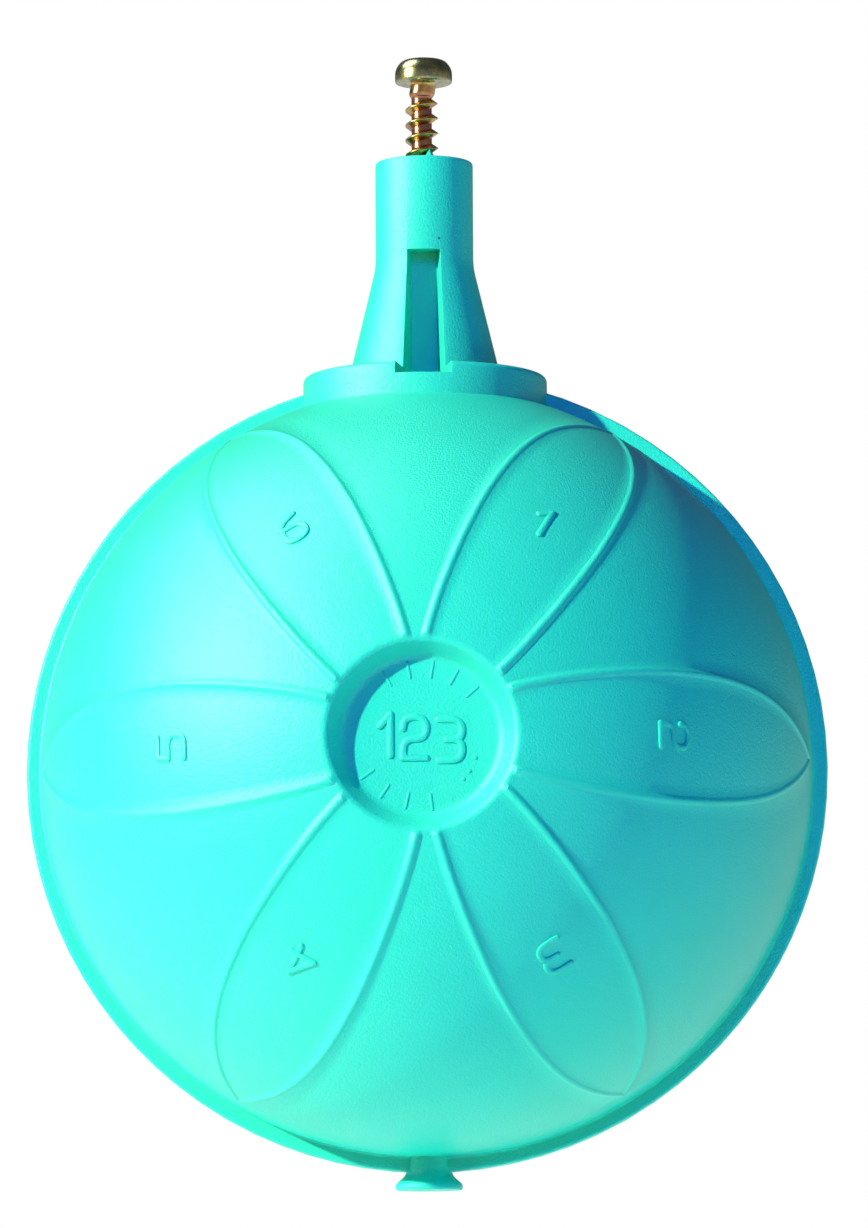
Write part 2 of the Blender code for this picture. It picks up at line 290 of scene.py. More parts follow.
def petal_sector(first_angle, last_angle):
    """A sixth of the ball's skin: a grid whose columns follow the petal's two beads."""
    left, right = petal_outline(-1), petal_outline(1)
    ridge = KDTree(len(left) + len(right))
    for i, (angle, heading) in enumerate(left + right):
        ridge.insert(on_ball(angle, heading), i)
    ridge.balance()
    sides = [list(zip(*outline)) for outline in (left, right)]
    row_knots = (
        first_angle,
        PETAL_TIP - TIP_ZONE[0] / BALL_RADIUS,
        PETAL_TIP + TIP_ZONE[1] / BALL_RADIUS,
        last_angle,
    )
    bm = bmesh.new()
    bmesh.ops.create_grid(
        bm, x_segments=2 * sum(BEAD_COLUMNS), y_segments=sum(PETAL_ROWS), size=1
    )
    for vert in bm.verts:
        angle = stretch((vert.co.y + 1) / 2, PETAL_ROWS, row_knots)
        low, high = (float(np.interp(angle, *outline)) for outline in sides)
        reach = BALL_RADIUS * math.sin(angle)
        down = (angle - first_angle) / (PETAL_TIP - first_angle)
        width = float(np.interp(down, (0, 1), BEAD_HALF_WIDTHS))
        height = float(np.interp(down, (0, 1), BEAD_HEIGHTS))
        middle, half = (low + high) / 2, (high - low) / 2
        side = math.copysign(1, vert.co.x)
        column_knots = (
            0,
            max(half - width / reach, LEAST_COLUMN * width / reach),
            half + width / reach,
            math.pi / PETALS - side * middle,
        )
        heading = middle + side * stretch(abs(vert.co.x), BEAD_COLUMNS, column_knots)
        away = ridge.find(on_ball(angle, heading))[2] / width
        proud = height * max(0, 1 - away**2) ** BEAD_SOFTNESS
        vert.co = on_ball(angle, heading, BALL_RADIUS + proud)
    return bm


def half_ball():
    """The outer skin of a half ball with its dish and flange, closed behind the seam."""
    face = FLANGE_THICKNESS / 2
    flange_root = math.sqrt(BALL_RADIUS**2 - face**2)
    rim_depth = math.sqrt(BALL_RADIUS**2 - DISH_RADIUS**2)
    dish_start = math.asin(DISH_RADIUS / BALL_RADIUS) + DISH_EDGE / BALL_RADIUS
    flange_start = math.acos((face + FLANGE_FILLET) / BALL_RADIUS)
    bm = petal_sector(dish_start, flange_start)
    bmesh.ops.spin(
        bm,
        geom=[*bm.verts, *bm.edges, *bm.faces],
        cent=(0, 0, 0),
        axis=(0, 0, 1),
        angle=math.tau * (PETALS - 1) / PETALS,
        steps=PETALS - 1,
        use_duplicate=True,
    )
    bmesh.ops.remove_doubles(bm, verts=bm.verts, dist=MERGE)
    bmesh.ops.rotate(
        bm, cent=(0, 0, 0), matrix=Matrix.Rotation(PETAL_TURN, 3, "Z"), verts=bm.verts
    )
    open_edges = [edge for edge in bm.edges if edge.is_boundary]
    inner = [edge for edge in open_edges if edge.verts[0].co.z > BALL_RADIUS / 2]
    outer = [edge for edge in open_edges if edge.verts[0].co.z <= BALL_RADIUS / 2]
    floor = rim_depth - DISH_DEPTH
    dish = rounded(
        [
            (BALL_RADIUS * math.sin(dish_start), BALL_RADIUS * math.cos(dish_start), 0),
            (DISH_RADIUS, rim_depth, DISH_EDGE * CORNER_SHARE),
            (DISH_FLOOR_RADIUS, floor, DISH_CORNER),
            (0, floor, 0),
        ]
    )
    flange = rounded(
        [
            (BALL_RADIUS * math.sin(flange_start), BALL_RADIUS * math.cos(flange_start), 0),
            (flange_root, face, FLANGE_FILLET * CORNER_SHARE),
            (FLANGE_RADIUS, face, FLANGE_EDGE),
            (FLANGE_RADIUS, SEAM_LAND_HEIGHT, SEAM_EDGE),
            (FLANGE_RADIUS - SEAM_LAND, SEAM_LAND_HEIGHT, 0),
            (FLANGE_RADIUS - SEAM_LAND, -OVERRUN, 0),
            (0, -OVERRUN, 0),
        ]
    )
    for i, (radius, height) in enumerate(dish[1:-1]):
        inner = ring(bm, inner, radius, height, max(0, BEAD_RUN_OUT - i / CORNER_STEPS))
    ring(bm, inner, 0, floor)
    for radius, height in flange[1:]:
        outer = ring(bm, outer, radius, height)
    bmesh.ops.remove_doubles(bm, verts=bm.verts, dist=MERGE)
    bmesh.ops.recalc_face_normals(bm, faces=bm.faces)
    return bm


def cavity():
    """The hollow of a half ball, one wall inside the skin."""
    radius = BALL_RADIUS - WALL
    floor = math.sqrt(BALL_RADIUS**2 - DISH_RADIUS**2) - DISH_DEPTH - WALL
    shoulder = math.asin((DISH_RADIUS + WALL) / radius)
    profile = [(0, floor), (DISH_FLOOR_RADIUS + WALL / 2, floor)]
    rings = CAVITY_STEPS // 4
    for i in range(rings + 1):
        angle = shoulder + (math.pi / 2 - shoulder) * i / rings
        profile.append((radius * math.sin(angle), radius * math.cos(angle)))
    return turned([*profile, (radius, -OVERRUN), (0, -OVERRUN)], CAVITY_STEPS)


def block(low, high):
    """A plain box between two corners."""
    bm = bmesh.new()
    bmesh.ops.create_cube(bm, size=1)
    bmesh.ops.scale(bm, vec=Vector(high) - Vector(low), verts=bm.verts)
    bmesh.ops.translate(bm, vec=(Vector(low) + Vector(high)) / 2, verts=bm.verts)
    return bm


def slot_core():
    """The core that leaves the slot, drafted towards its mouth and through the collar's rim."""
    back = -SLOT_WEB - SEAM
    mouth = -COLLAR_RADIUS - OVERRUN
    draft = SLOT_DRAFT * (mouth - back) / (-STEM_RADIUS - back)
    bm = block(
        (-SLOT_WIDTH / 2, mouth, COLLAR_TOP - SLOT_SILL),
        (SLOT_WIDTH / 2, back, COLLAR_TOP + SLOT_HEIGHT),
    )
    for vert in bm.verts:
        if vert.co.y < (mouth + back) / 2:
            vert.co.x += math.copysign(draft, vert.co.x)
    return bm


def stem():
    """The stem, its flare and the collar, slotted, with every edge as soft as the mould's."""
    outline = rounded(
        [
            (0, 0, 0),
            (STEM_RADIUS, 0, STEM_EDGE),
            (STEM_RADIUS, COLLAR_TOP + FLARE_HEIGHT, FLARE_BEND),
            (FLARE_RADIUS, COLLAR_TOP, FLARE_FILLET),
            (COLLAR_RADIUS, COLLAR_TOP, COLLAR_EDGE),
            (COLLAR_RADIUS, BALL_CENTRE + BALL_RADIUS / 2, 0),
            (0, BALL_CENTRE + BALL_RADIUS / 2, 0),
        ]
    )
    piece = piece_from("stem", turned(outline))
    combine(piece, "DIFFERENCE", piece_from("slot_core", slot_core()))
    edges = piece.modifiers.new("soft_edges", "BEVEL")
    edges.width = SLOT_EDGE
    edges.segments = 3
    edges.limit_method = "ANGLE"
    edges.angle_limit = STEM_SHARP
    settle(piece)
    return piece


def foot():
    """The foot under the ball: a short stalk that flares to a flat rim."""
    bottom = shell_low[2]
    outline = rounded(
        [
            (0, BALL_CENTRE - BALL_RADIUS / 2, 0),
            (FOOT_STALK_RADIUS, BALL_CENTRE - BALL_RADIUS / 2, 0),
            (FOOT_STALK_RADIUS, bottom + FOOT_RIM + FOOT_FLARE, FOOT_FLARE * FOOT_BLEND),
            (FOOT_RADIUS, bottom + FOOT_RIM, FOOT_EDGE),
            (FOOT_RADIUS, bottom, FOOT_EDGE),
            (0, bottom, 0),
        ]
    )
    return turned(outline)


# Raised figures: moulded with the shells, from a mould cut by a ball-nosed tool, so each stroke
# is a round ridge with round ends. A plain number, a scale of ticks and three dots stand in the
# dish, and a numeral in each petal.

# A numeral's strokes are lists of (x, y, rounding) corners, in a box one high
NUMERALS = {
    "1": [[(0.09, 0.72, 0), (0.34, 1, 0)], [(0.34, 1, 0), (0.34, 0, 0)]],
    "2": [
        [
            (0, 0.72, 0),
            (0, 1, 0.27),
            (0.55, 1, 0.27),
            (0.55, 0.46, 0.27),
            (0, 0.46, 0.27),
            (0, 0, 0),
        ],
        [(0, 0, 0), (0.55, 0, 0)],
    ],
    "3": [
        [(0, 1, 0), (0.55, 1, 0.26), (0.55, 0.51, 0.22), (0.18, 0.51, 0)],
        [(0.33, 0.51, 0), (0.55, 0.51, 0.22), (0.55, 0, 0.27), (0, 0, 0)],
    ],
    "4": [
        [(0.44, 1, 0), (0.44, 0, 0)],
        [(0.44, 1, 0), (0, 0.3, 0)],
        [(0, 0.3, 0), (0.6, 0.3, 0)],
    ],
    "5": [
        [(0.52, 1, 0), (0.04, 1, 0)],
        [(0.04, 1, 0), (0, 0.6, 0)],
        [(0, 0.6, 0), (0.55, 0.6, 0.26), (0.55, 0, 0.27), (0, 0, 0)],
    ],
    "6": [
        [(0.47, 1, 0), (0, 0.78, 0.3), (0, 0, 0.27), (0.55, 0, 0.27), (0.55, 0.3, 0)],
        [(0.55, 0.3, 0), (0.55, 0.57, 0.26), (0, 0.57, 0)],
    ],
}
# Figures with their left and bottom, sizes across and up, and each stroke's width and height
DISH_FIGURES = (("1", -0.0068, -0.0029), ("2", -0.0028, -0.0033), ("3", 0.0025, -0.0037))
DISH_FIGURE = Vector((0.0063, 0.0061))
DISH_STROKE = (0.0011, 0.00035)
PETAL_FIGURE = Vector((0.0064, 0.0053))
PETAL_STROKE = (0.0010, 0.00032)
PETAL_FIGURE_ANGLE = math.radians(38.8)
NUMERAL_MIDDLE = (0.27, 0.5)
TICK_ANGLES = (121, 101, 81, 61, 41, 215, 236, 257, 278)
TICK_SPAN = (0.0088, 0.0111)
TICK_STROKE = (0.00045, 0.00016)
DOTS = ((0.0079, -0.0033), (0.0070, -0.0053), (0.0061, -0.0065))
DOT_STROKE = (0.0006, 0.00018)
DOT_LENGTH = DOT_STROKE[0] / 8
STROKE_SIDES = 3
END_STEPS = (84, 65, 42, 20)


def raised_stroke(line, width, height):
    """A stroke's ridge: a tube along the line, with rounded ends, flattened to its height."""
    line = [Vector((*point, 0)) for point in line]
    first = (line[0] - line[1]).normalized() * width / 2
    last = (line[-1] - line[-2]).normalized() * width / 2
    ends = [(math.sin(math.radians(step)), math.cos(math.radians(step))) for step in END_STEPS]
    path = [(line[0] + first * reach, fullness) for reach, fullness in ends]
    path += [(point, 1) for point in line]
    path += [(line[-1] + last * reach, fullness) for reach, fullness in reversed(ends)]
    curve = bpy.data.curves.new("stroke", "CURVE")
    curve.dimensions = "3D"
    curve.bevel_depth = width / 2
    curve.bevel_resolution = STROKE_SIDES
    curve.use_fill_caps = True
    spline = curve.splines.new("POLY")
    spline.points.add(len(path) - 1)
    for spot, (point, fullness) in zip(spline.points, path):
        spot.co = (*point, 1)
        spot.radius = fullness
    piece = bpy.data.objects.new("stroke", curve)
    bpy.context.scene.collection.objects.link(piece)
    graph = bpy.context.evaluated_depsgraph_get()
    bm = bmesh.new()
    bm.from_mesh(bpy.data.meshes.new_from_object(piece.evaluated_get(graph)))
    bpy.data.objects.remove(piece)
    bmesh.ops.remove_doubles(bm, verts=bm.verts, dist=MERGE)
    bmesh.ops.scale(bm, vec=(1, 1, 2 * height / width), verts=bm.verts)
    bmesh.ops.recalc_face_normals(bm, faces=bm.faces)
    return bm


def numeral(figure, size, stroke, place):
    """The strokes of a numeral, from its lower left corner, each as an object in its place."""
    pieces = []
    for corners in NUMERALS[figure]:
        line = [Vector((x * size.x, y * size.y)) for x, y in rounded(corners)]
        pieces.append(piece_from("stroke", raised_stroke(line, *stroke), place))
    return pieces


def raised_figures():
    """All the strokes on one half, in a collection of their own."""
    floor = math.sqrt(BALL_RADIUS**2 - DISH_RADIUS**2) - DISH_DEPTH
    on_floor = BALL_PLACE @ Matrix.Translation((0, 0, floor))
    pieces = []
    for figure, left, bottom in DISH_FIGURES:
        place = on_floor @ Matrix.Translation((left, bottom, 0))
        pieces += numeral(figure, DISH_FIGURE, DISH_STROKE, place)
    for angle in TICK_ANGLES:
        heading = math.radians(angle)
        line = [Vector((math.cos(heading), math.sin(heading))) * end for end in TICK_SPAN]
        pieces.append(piece_from("tick", raised_stroke(line, *TICK_STROKE), on_floor))
    for x, y in DOTS:
        line = [Vector((x, y)), Vector((x + DOT_LENGTH, y))]
        pieces.append(piece_from("dot", raised_stroke(line, *DOT_STROKE), on_floor))
    for i in range(PETALS):
        heading = PETAL_TURN + math.tau * (1 - i) / PETALS
        out = Vector((math.cos(heading), math.sin(heading), 0))
        normal = on_ball(PETAL_FIGURE_ANGLE, heading, 1)
        top = (out - normal * out.dot(normal)).normalized()
        side = top.cross(normal)
        corner = (
            normal * BALL_RADIUS
            - side * PETAL_FIGURE.x * NUMERAL_MIDDLE[0]
            - top * PETAL_FIGURE.y * NUMERAL_MIDDLE[1]
        )
        place = BALL_PLACE @ Matrix((side, top, normal)).transposed().to_4x4()
        place.translation = BALL_PLACE @ corner
        pieces += numeral(str(i + 1), PETAL_FIGURE, PETAL_STROKE, place)
    figures = bpy.data.collections.new("raised_figures")
    for piece in pieces:
        figures.objects.link(piece)
    return figures


# Front shell: the half ball, its figures, the stem and the foot are moulded in one. It is cut off
# square at the seam, hollowed to its wall and bored for the screw.

half_shell = piece_from("front_shell", half_ball(), BALL_PLACE)
figures = raised_figures()
union = half_shell.modifiers.new("figures", "BOOLEAN")
union.operation = "UNION"
union.operand_type = "COLLECTION"
union.collection = figures
union.solver = "EXACT"
settle(half_shell)
for stroke in list(figures.objects):
    bpy.data.objects.remove(stroke)
bpy.data.collections.remove(figures)
combine(half_shell, "UNION", stem())
combine(half_shell, "UNION", piece_from("foot", foot()))
reach = 2 * BALL_RADIUS
combine(
    half_shell,
    "DIFFERENCE",
    piece_from(
        "other_half",
        block((-reach, -SEAM / 2, BALL_CENTRE - reach), (reach, reach, BALL_CENTRE + reach)),
    ),
)
combine(half_shell, "DIFFERENCE", piece_from("hollow", cavity(), BALL_PLACE))
hole = [(0, OVERRUN), (HOLE_RADIUS, OVERRUN), (HOLE_RADIUS, -HOLE_DEPTH), (0, -HOLE_DEPTH)]
combine(half_shell, "DIFFERENCE", piece_from("screw_hole", turned(hole, HOLE_STEPS)))

# Polyethylene: the high-density plastic that floats are injection moulded in, coloured through.
# It leaves a finely spark-eroded mould with a satin skin, slightly uneven where the wall shrank,
# and it picks up a few dark specks of dust in the moulding shop.
PLASTIC_COLOUR = "#24CBA8"
PLASTIC_PALE = "#2AD0B1"
PLASTIC_SPECK = "#094E52"
PLASTIC_IOR = 1.54
PLASTIC_SPECULAR = 0.46
SATIN_ROUGHNESS = (0.29, 0.39)
# Drawn coarser than the real grain, so that it shows
SPARK_GRAIN = 0.00035
SPARK_DEPTH = 0.00012
SHRINK_WAVE = 0.011
SHRINK_DEPTH = 0.0002
SHRINK_STRENGTH = 0.3
SPECK_RADIUS = 0.00016
SPECK_BLUR = 1.6


def linear(colour):
    """An sRGB hex colour as linear red, green, blue and alpha."""
    parts = [int(colour[i : i + 2], 16) / 255 for i in (1, 3, 5)]
    return [c / 12.92 if c <= 0.04045 else ((c + 0.055) / 1.055) ** 2.4 for c in parts] + [1]


def add_node(tree, kind, settings=None, values=None, links=None):
    """A node with its settings, the values of its sockets and the sockets that feed them."""
    node = tree.nodes.new(kind)
    for name, value in (settings or {}).items():
        setattr(node, name, value)
    for name, value in (values or {}).items():
        node.inputs[name].default_value = value
    for name, source in (links or {}).items():
        tree.links.new(source, node.inputs[name])
    return node


def new_material(name):
    """A material with a bare Principled shader, its tree and its Object coordinates."""
    made = bpy.data.materials.new(name)
    made.use_nodes = True
    tree = made.node_tree
    shader = tree.nodes["Principled BSDF"]
    place = add_node(tree, "ShaderNodeTexCoord").outputs["Object"]
    return made, tree, shader, place


def moulded_plastic(name, specks):
    """Satin plastic with spark-eroded grain, shrink waves and dust specks at given points."""
    made, tree, shader, place = new_material(name)
    wave = add_node(
        tree,
        "ShaderNodeTexNoise",
        values={"Scale": 1 / SHRINK_WAVE, "Detail": 2, "Roughness": 0.5},
        links={"Vector": place},
    )
    grain = add_node(
        tree,
        "ShaderNodeTexNoise",
        values={"Scale": 1 / SPARK_GRAIN, "Detail": 3, "Roughness": 0.65},
        links={"Vector": place},
    )
    tone = add_node(
        tree,
        "ShaderNodeMix",
        {"data_type": "RGBA"},
        {"A": linear(PLASTIC_COLOUR), "B": linear(PLASTIC_PALE)},
        {"Factor": wave.outputs["Fac"]},
    )
    colour = tone.outputs["Result"]
    for speck in specks:
        away = add_node(
            tree,
            "ShaderNodeVectorMath",
            {"operation": "DISTANCE"},
            {1: speck},
            {0: place},
        )
        near = add_node(
            tree,
            "ShaderNodeMapRange",
            values={
                "From Min": SPECK_RADIUS,
                "From Max": SPECK_RADIUS * SPECK_BLUR,
                "To Min": 1,
                "To Max": 0,
            },
            links={"Value": away.outputs["Value"]},
        )
        dusty = add_node(
            tree,
            "ShaderNodeMix",
            {"data_type": "RGBA"},
            {"B": linear(PLASTIC_SPECK)},
            {"A": colour, "Factor": near.outputs["Result"]},
        )
        colour = dusty.outputs["Result"]
    tree.links.new(colour, shader.inputs["Base Color"])
    sheen = add_node(
        tree,
        "ShaderNodeMapRange",
        values={"To Min": SATIN_ROUGHNESS[0], "To Max": SATIN_ROUGHNESS[1]},
        links={"Value": grain.outputs["Fac"]},
    )
    tree.links.new(sheen.outputs["Result"], shader.inputs["Roughness"])
    shader.inputs["IOR"].default_value = PLASTIC_IOR
    shader.inputs["Specular IOR Level"].default_value = PLASTIC_SPECULAR
    fine = add_node(
        tree,
        "ShaderNodeBump",
        values={"Strength": 1, "Distance": SPARK_DEPTH},
        links={"Height": grain.outputs["Fac"]},
    )
    broad = add_node(
        tree,
        "ShaderNodeBump",
        values={"Strength": SHRINK_STRENGTH, "Distance": SHRINK_DEPTH},
        links={"Height": wave.outputs["Fac"], "Normal": fine.outputs["Normal"]},
    )
    tree.links.new(broad.outputs["Normal"], shader.inputs["Normal"])
    return made


SPECKS = ((-0.0063, -0.0512, -0.1263), (0.0158, -0.0497, -0.1249), (0.0024, -0.0073, -0.0132))
shell_plastic = moulded_plastic("spark_eroded_polyethylene", SPECKS)
half_shell.data.shade_smooth()
half_shell.data.set_sharp_from_angle(angle=SHELL_SHARP)
half_shell.data.materials.clear()
half_shell.data.materials.append(shell_plastic)

# The back shell is the same moulding, turned half a turn about the stem
back_mesh = half_shell.data.copy()
back_mesh.transform(Matrix.Rotation(math.pi, 4, "Z"))
back_shell = bpy.data.objects.new("back_shell", back_mesh)
bpy.context.scene.collection.objects.link(back_shell)

for piece, node in ((half_shell, "front_half_shell"), (back_shell, "back_half_shell")):
    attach(piece, "root")
    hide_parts(node)


# Burr: the lip of polyethylene that the screw's thread pushed up round its hole as it was driven,
# with one torn curl at the front right.

LIP_RADII = (0.0019, 0.0024, 0.0029)
LIP_HEIGHT = 0.00008
CURL_HEIGHT = 0.0019
CURL_HEADING = math.radians(-66)
CURL_SPREAD = math.radians(30)
LIP_STEPS = 96

bm = bmesh.new()
bmesh.ops.create_circle(bm, segments=LIP_STEPS, radius=LIP_RADII[0])
lip_edges = list(bm.edges)
for radius in LIP_RADII[1:]:
    lip_edges = ring(bm, lip_edges, radius, 0)
for vert in bm.verts:
    if abs(vert.co.length - LIP_RADII[1]) < 1e-5:
        away = abs(math.atan2(vert.co.y, vert.co.x) - CURL_HEADING) / CURL_SPREAD
        vert.co.z = LIP_HEIGHT + CURL_HEIGHT * max(0, 1 - away)
bmesh.ops.recalc_face_normals(bm, faces=bm.faces)
burr = piece_from("thread_burr", bm)
burr.data.shade_smooth()
burr.data.materials.append(shell_plastic)
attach(burr, "root")


# Weld flash: a thin fin of the shells' own polyethylene, squeezed out of the seam as the hot
# halves were pressed together. It stands on the left, between the flare and the collar.

FIN_THICKNESS = 0.0005
FIN_FOOT = (-0.0127, -0.0110)
FIN_TOP = (-0.0120, -0.0107)
FIN_HEIGHT = 0.0022
FIN_THINNING = 0.5
FIN_EDGE = FIN_THICKNESS / 6

bm = block(
    (FIN_FOOT[0], -FIN_THICKNESS / 2, COLLAR_TOP - FIN_THICKNESS),
    (FIN_FOOT[1], FIN_THICKNESS / 2, COLLAR_TOP + FIN_HEIGHT),
)
for vert in bm.verts:
    if vert.co.z > COLLAR_TOP:
        vert.co.x = FIN_TOP[0] if vert.co.x < sum(FIN_FOOT) / 2 else FIN_TOP[1]
        vert.co.y *= FIN_THINNING
bmesh.ops.bevel(
    bm,
    geom=bm.edges,
    offset=FIN_EDGE,
    segments=2,
    profile=0.5,
    affect="EDGES",
    material=-1,
)
fin = piece_from("weld_flash", bm)
fin.data.shade_smooth()
fin.data.materials.append(shell_plastic)
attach(fin, "root")


# Arm screw: a coarse self-tapping screw with a pan head and a cross recess. It is cold headed
# and thread rolled in steel, zinc plated and dipped in yellow chromate. The blank left the
# header with its head a little off the shank's axis.

screw_low, screw_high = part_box("arm_screw")
HEAD_HEIGHT = 0.0036
HEAD_RADIUS = 0.0045
HEAD_DOME = 0.00015
HEAD_CROWN_RADIUS = 0.0034
HEAD_CROWN_ROUNDING = 0.0009
HEAD_SHOULDER = 0.0014
HEAD_SHOULDER_ROUNDING = 0.0008
HEAD_EDGE = 0.0005
HEAD_BASE = screw_high[2] - HEAD_HEIGHT
NECK_RADIUS = 0.0020
NECK_LENGTH = 0.0019
NECK_FILLET = 0.0005
CORE_RADIUS = 0.0016
CORE_FILLET = 0.0004
POINT_RADIUS = 0.00045
POINT_LENGTH = 0.0016
SHANK_OFFSET = -0.00033
THREAD_RADIUS = 0.0026
THREAD_PITCH = 0.0024
THREAD_BASE = 0.0015
THREAD_CREST = 0.00014
THREAD_SINK = 0.0005
THREAD_RUN_OUT = 0.0013
THREAD_LEAST = 0.02
THREAD_CORNER_STEPS = 2
THREAD_END = math.pi
CROSS_WIDTH = 0.0044
CROSS_WING = 0.0010
CROSS_DEPTH = 0.0018
CROSS_TAPER = (0.4, 0.7)
CROSS_TURNS = (45, 135)
SCREW_TURN_STEPS = 96
THREAD_TURN_STEPS = 48
SCREW_SHARP = math.radians(40)

neck_end = HEAD_BASE - NECK_LENGTH
shank = rounded(
    [
        (0, screw_high[2] + HEAD_DOME, 0),
        (HEAD_CROWN_RADIUS, screw_high[2] + HEAD_DOME, HEAD_CROWN_ROUNDING),
        (HEAD_RADIUS, screw_high[2] - HEAD_SHOULDER, HEAD_SHOULDER_ROUNDING),
        (HEAD_RADIUS, HEAD_BASE, HEAD_EDGE),
        (NECK_RADIUS, HEAD_BASE, NECK_FILLET),
        (NECK_RADIUS, neck_end, CORE_FILLET),
        (CORE_RADIUS, neck_end - CORE_FILLET, CORE_FILLET / 2),
        (CORE_RADIUS, screw_low[2] + POINT_LENGTH, 0),
        (POINT_RADIUS, screw_low[2], 0),
        (0, screw_low[2], 0),
    ]
)
arm_screw = piece_from("screw", turned(shank, SCREW_TURN_STEPS))

thread_start = screw_low[2] + POINT_LENGTH
turns = (neck_end - thread_start) / THREAD_PITCH
steps = round(turns * THREAD_TURN_STEPS)
sink_radius = CORE_RADIUS - THREAD_SINK
flank = (THREAD_BASE - THREAD_CREST) / 2 / (THREAD_RADIUS - CORE_RADIUS)
sink_half = THREAD_CREST / 2 + flank * (THREAD_RADIUS - sink_radius)
section = rounded(
    [
        (sink_radius, -sink_half, 0),
        (THREAD_RADIUS, -THREAD_CREST / 2, THREAD_CREST / 2),
        (THREAD_RADIUS, THREAD_CREST / 2, THREAD_CREST / 2),
        (sink_radius, sink_half, 0),
    ],
    THREAD_CORNER_STEPS,
)
bm = bmesh.new()
face = bm.faces.new([bm.verts.new((radius, 0, height)) for radius, height in section])
bmesh.ops.spin(
    bm,
    geom=[*face.verts, *face.edges, face],
    cent=(0, 0, 0),
    axis=(0, 0, 1),
    dvec=(0, 0, (neck_end - thread_start) / steps),
    angle=math.tau * turns,
    steps=steps,
)
bmesh.ops.remove_doubles(bm, verts=bm.verts, dist=MERGE)
bmesh.ops.recalc_face_normals(bm, faces=bm.faces)
for vert in bm.verts:
    radius = math.hypot(vert.co.x, vert.co.y)
    room = min(vert.co.z, neck_end - thread_start - vert.co.z) / THREAD_RUN_OUT
    grown = sink_radius + (radius - sink_radius) * min(1, max(THREAD_LEAST, room))
    vert.co.x *= grown / radius
    vert.co.y *= grown / radius
# The last crest runs out on the left
place = Matrix.Translation((0, 0, thread_start)) @ Matrix.Rotation(
    THREAD_END - math.tau * turns, 4, "Z"
)
combine(arm_screw, "UNION", piece_from("thread", bm, place))
for turn in CROSS_TURNS:
    wing = block(
        (-CROSS_WIDTH / 2, -CROSS_WING / 2, screw_high[2] - CROSS_DEPTH),
        (CROSS_WIDTH / 2, CROSS_WING / 2, screw_high[2] + CROSS_DEPTH),
    )
    for vert in wing.verts:
        if vert.co.z < screw_high[2]:
            vert.co.x *= CROSS_TAPER[0]
            vert.co.y *= CROSS_TAPER[1]
    across = Matrix.Rotation(math.radians(turn), 4, "Z")
    combine(arm_screw, "DIFFERENCE", piece_from("wing", wing, across))
for vert in arm_screw.data.vertices:
    rise = min(1, max(0, (vert.co.z - neck_end) / NECK_LENGTH))
    vert.co.x += SHANK_OFFSET * (1 - rise)
arm_screw.data.shade_smooth()
arm_screw.data.set_sharp_from_angle(angle=SCREW_SHARP)

# Yellow-chromated zinc: a bright metal under a clear film a few hundred nanometres thick, which
# tints it by its thickness. It is thin and olive on the head and the crests, gold to rose where
# it gathers on the shank and pools below the head, and the barrel leaves fine rub marks.
FILM_COLOURS = (
    (0.00, "#7A9060"),
    (0.20, "#A09E80"),
    (0.40, "#C6B674"),
    (0.60, "#BE8A56"),
    (0.80, "#AC7468"),
    (1.00, "#8A8078"),
)
FILM_ON_SHANK = 0.47
FILM_ON_CRESTS = 0.20
POOLED = 0.25
POOL_EDGE = 0.0008
FILM_DRIFT = 0.0016
DRIFT_NOISE = (0.3, 0.7)
DRIFT_REACH = 0.22
RUB_GRAIN = 0.00022
RUB_DEPTH = 0.00003
RUB_STRENGTH = 0.2
RUBBED_ROUGHNESS = (0.16, 0.34)

zinc, tree, shader, place = new_material("yellow_chromated_zinc")
spot = add_node(tree, "ShaderNodeSeparateXYZ", links={0: place})
sideways = add_node(
    tree, "ShaderNodeMath", {"operation": "SUBTRACT"}, {1: SHANK_OFFSET}, {0: spot.outputs["X"]}
)
flat = add_node(
    tree, "ShaderNodeCombineXYZ", links={"X": sideways.outputs[0], "Y": spot.outputs["Y"]}
)
off_axis = add_node(
    tree, "ShaderNodeVectorMath", {"operation": "LENGTH"}, links={0: flat.outputs[0]}
)
gathered = add_node(
    tree,
    "ShaderNodeMapRange",
    {"interpolation_type": "SMOOTHSTEP"},
    {
        "From Min": CORE_RADIUS,
        "From Max": THREAD_RADIUS,
        "To Min": FILM_ON_SHANK,
        "To Max": FILM_ON_CRESTS,
    },
    {"Value": off_axis.outputs["Value"]},
)
pooled = add_node(
    tree,
    "ShaderNodeMapRange",
    values={
        "From Min": HEAD_BASE - POOL_EDGE,
        "From Max": HEAD_BASE,
        "To Min": POOLED,
        "To Max": 0,
    },
    links={"Value": spot.outputs["Z"]},
)
drift = add_node(
    tree,
    "ShaderNodeTexNoise",
    values={"Scale": 1 / FILM_DRIFT, "Detail": 2, "Roughness": 0.5},
    links={"Vector": place},
)
drifted = add_node(
    tree,
    "ShaderNodeMapRange",
    values={
        "From Min": DRIFT_NOISE[0],
        "From Max": DRIFT_NOISE[1],
        "To Min": -DRIFT_REACH,
        "To Max": DRIFT_REACH,
    },
    links={"Value": drift.outputs["Fac"]},
)
below_head = add_node(
    tree, "ShaderNodeMath", links={0: gathered.outputs[0], 1: pooled.outputs["Result"]}
)
film = add_node(
    tree, "ShaderNodeMath", links={0: below_head.outputs[0], 1: drifted.outputs["Result"]}
)
tint = add_node(tree, "ShaderNodeValToRGB", links={"Fac": film.outputs[0]})
stops = tint.color_ramp.elements
while len(stops) < len(FILM_COLOURS):
    stops.new(1)
for stop, (position, colour) in zip(stops, FILM_COLOURS):
    stop.position = position
    stop.color = linear(colour)
tree.links.new(tint.outputs["Color"], shader.inputs["Base Color"])
